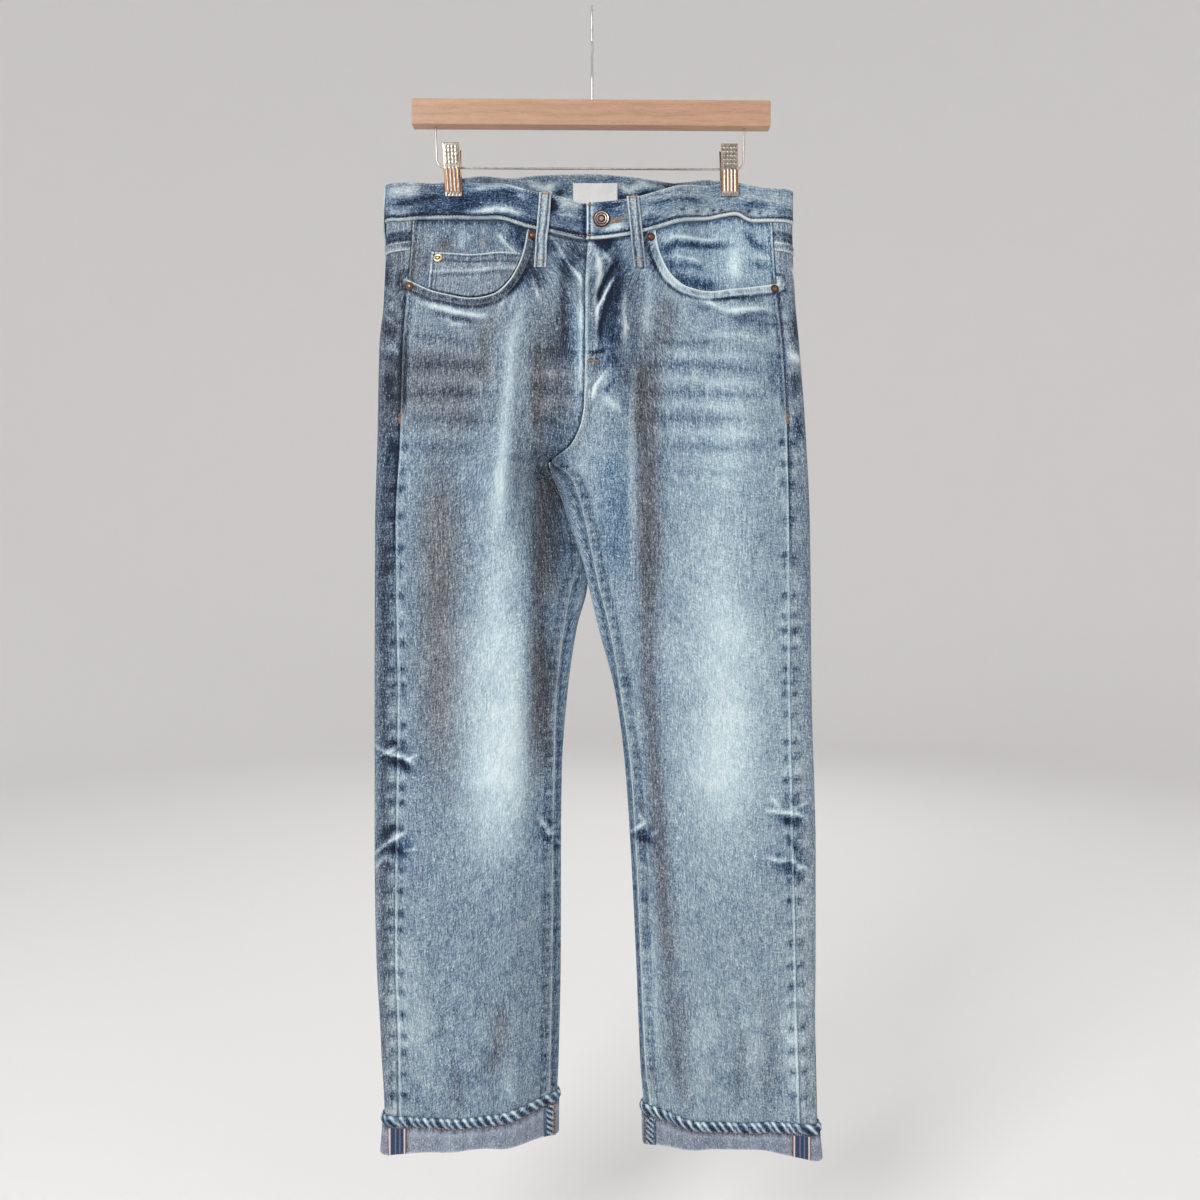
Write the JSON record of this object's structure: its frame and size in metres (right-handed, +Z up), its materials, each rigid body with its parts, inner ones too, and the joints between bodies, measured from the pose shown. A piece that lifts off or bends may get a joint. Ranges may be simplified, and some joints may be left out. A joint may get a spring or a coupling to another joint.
{
  "type": "straight leg jeans on a clip hanger",
  "caption": "Straight leg jeans with turned-up cuffs, held open at the waist by a wooden bar hanger with metal clips and a wire hook.",
  "frame": {"origin": "the inner top of the hanger's hook, where it bears on the peg, ring or rail that holds it", "axes": "+X to the viewer's right when the front is seen, +Y from the front to the back, +Z up along the hanging cloth"},
  "size_m": [0.4571, 0.076, 1.1727],
  "materials": {
    "denim": "washed light blue cotton denim twill",
    "denim_wrong_side": "pale wrong side of the denim",
    "selvedge": "woven off-white edge with a red line",
    "label": "plain white woven label",
    "copper": "antiqued copper plating",
    "brass": "polished brass",
    "wood": "clear satin lacquer",
    "steel": "bright plated steel"
  },
  "bodies": {
    "root": {"waistband": "denim", "front_right": "denim", "front_left": "denim", "back_right": "denim", "back_left": "denim", "yoke_right": "denim", "yoke_left": "denim", "pocket_facing_right": "denim", "pocket_facing_left": "denim", "coin_pocket": "denim", "back_pocket_right": "denim", "back_pocket_left": "denim", "belt_loop_front_right": "denim", "belt_loop_front_left": "denim", "belt_loop_side_right": "denim", "belt_loop_side_left": "denim", "belt_loop_back": "denim", "fly_shield": "denim", "cuff_right": "denim_wrong_side", "cuff_left": "denim_wrong_side", "hem_right": "denim_wrong_side", "hem_left": "denim_wrong_side", "inseam_allowance_right": "denim_wrong_side", "inseam_allowance_left": "denim_wrong_side", "selvedge_right": "selvedge", "selvedge_left": "selvedge", "label": "label", "button": "copper", "rivet_right_outer": "copper", "rivet_right_inner": "copper", "rivet_left_inner": "copper", "rivet_left_outer": "copper", "rivet_coin": "brass", "hanger_bar": "wood", "hanger_hook": "steel", "hanger_wire": "steel", "clip_right_front_jaw": "steel", "clip_right_back_jaw": "steel", "clip_right_spring": "steel", "clip_left_front_jaw": "steel", "clip_left_back_jaw": "steel", "clip_left_spring": "steel"}
  },
  "joints": []
}
